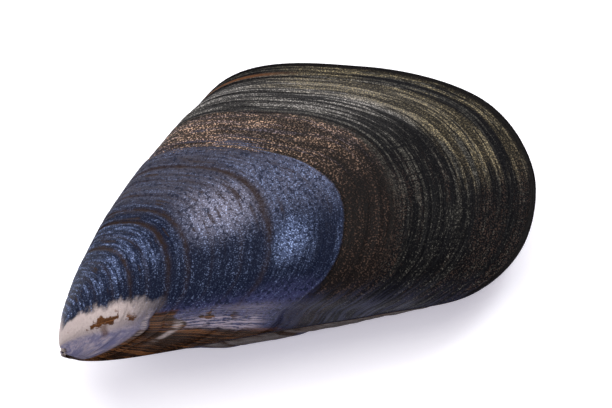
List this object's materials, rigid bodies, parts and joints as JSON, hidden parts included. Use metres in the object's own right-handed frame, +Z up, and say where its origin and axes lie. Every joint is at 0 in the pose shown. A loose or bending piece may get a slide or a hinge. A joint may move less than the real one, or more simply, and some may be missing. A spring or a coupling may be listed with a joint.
{
  "type": "mussel shell",
  "caption": "Closed mussel shell: hollow pear-shaped valves joined by a ligament, opening on their hinge.",
  "frame": {"origin": "under the middle of the closed shell's box, on the surface that it rests on", "axes": "+X along the shell from the beak to the hind end, +Y towards the hinge side, +Z up through the upper valve"},
  "size_m": [0.0612, 0.037, 0.0216],
  "materials": {
    "left_valve_shell": "satin, worn blue near the beak, dark brown skin behind",
    "right_valve_shell": "satin, worn blue near the beak, dark brown skin behind",
    "ligament_horn": "dull dark brown horn"
  },
  "bodies": {
    "right_side": {"right_valve": "right_valve_shell", "ligament": "ligament_horn"},
    "left_side": {"left_valve": "left_valve_shell"}
  },
  "joints": [
    {"name": "hinge", "type": "hinge", "parent": "right_side", "child": "left_side", "pos_m": [-0.01551, 0.00651, 0.00947], "axis": [-0.7258, -0.6678, 0.1651], "range_deg": [0, 60]}
  ]
}
